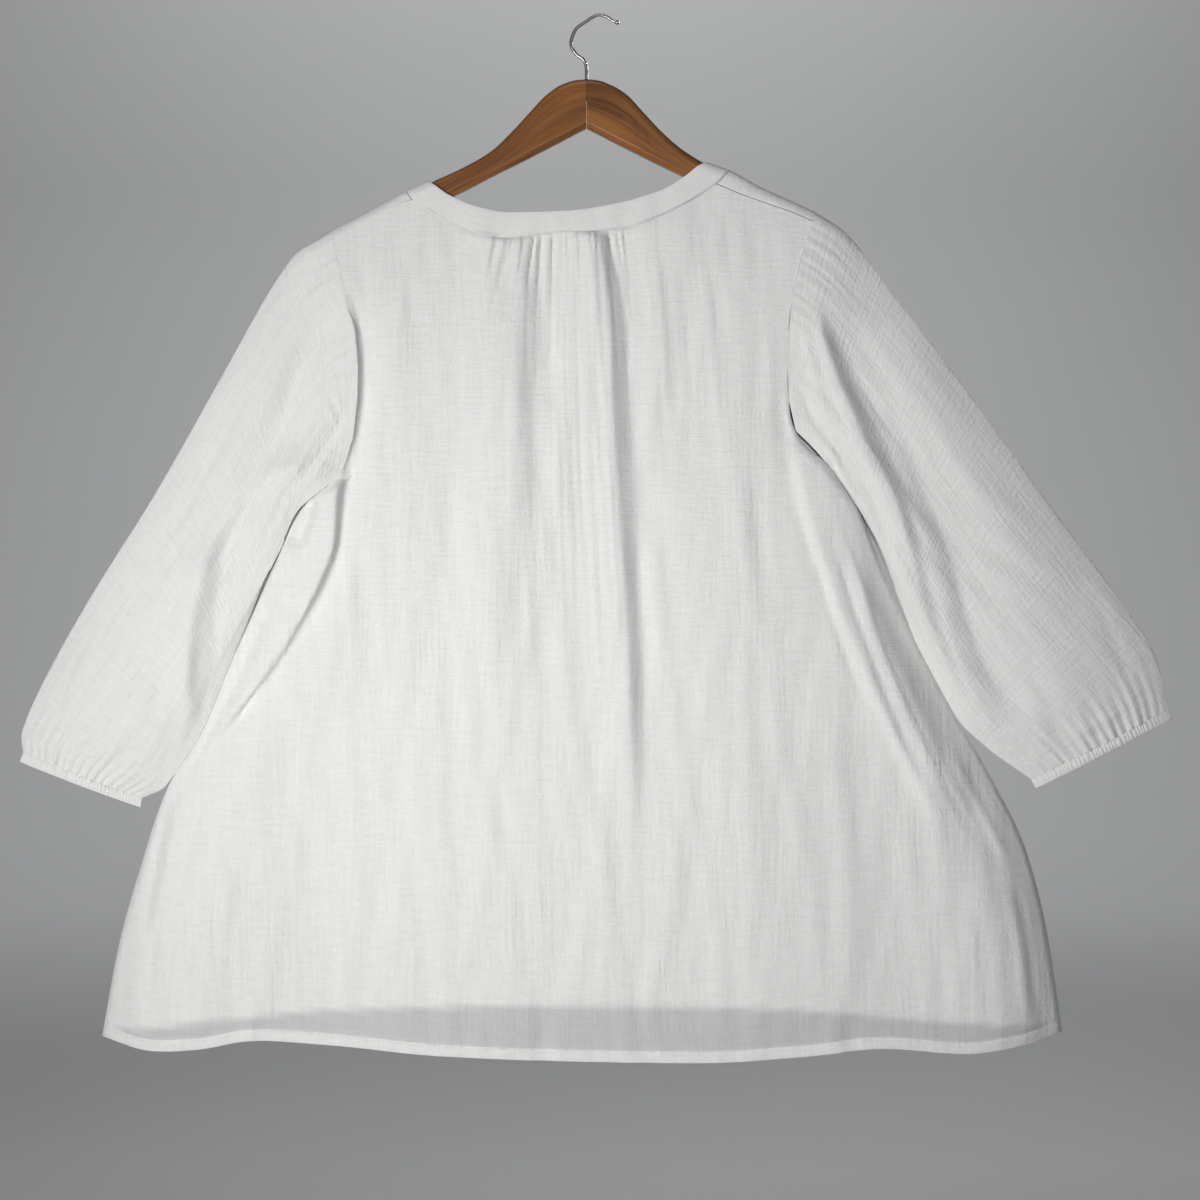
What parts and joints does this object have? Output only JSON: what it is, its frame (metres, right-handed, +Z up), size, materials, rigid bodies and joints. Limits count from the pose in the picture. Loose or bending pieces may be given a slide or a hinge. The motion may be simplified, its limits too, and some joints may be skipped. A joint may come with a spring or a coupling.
{
  "type": "split-neck top on a hanger",
  "caption": "Hip-length split-neck top in crinkled double gauze with gathered three-quarter sleeves and narrow elastic cuffs, hanging flat on a wooden hanger with a wire hook.",
  "frame": {"origin": "under the wire of the hanger's hook, straight above its stem, where a rail or a peg carries it", "axes": "+X to the wearer's left, +Y out of the garment's back, +Z up"},
  "size_m": [0.9565, 0.071, 0.8664],
  "materials": {
    "gauze": "matt crinkled double gauze",
    "hanger_wood": "glossy orange-brown varnish",
    "hook_wire": "bright bent wire"
  },
  "bodies": {
    "root": {"back": "gauze", "front": "gauze", "sleeve_left": "gauze", "sleeve_right": "gauze", "cuff_left": "gauze", "cuff_right": "gauze", "neckband": "gauze", "hanger_arm_left": "hanger_wood", "hanger_arm_right": "hanger_wood", "hanger_hook": "hook_wire"}
  },
  "joints": []
}
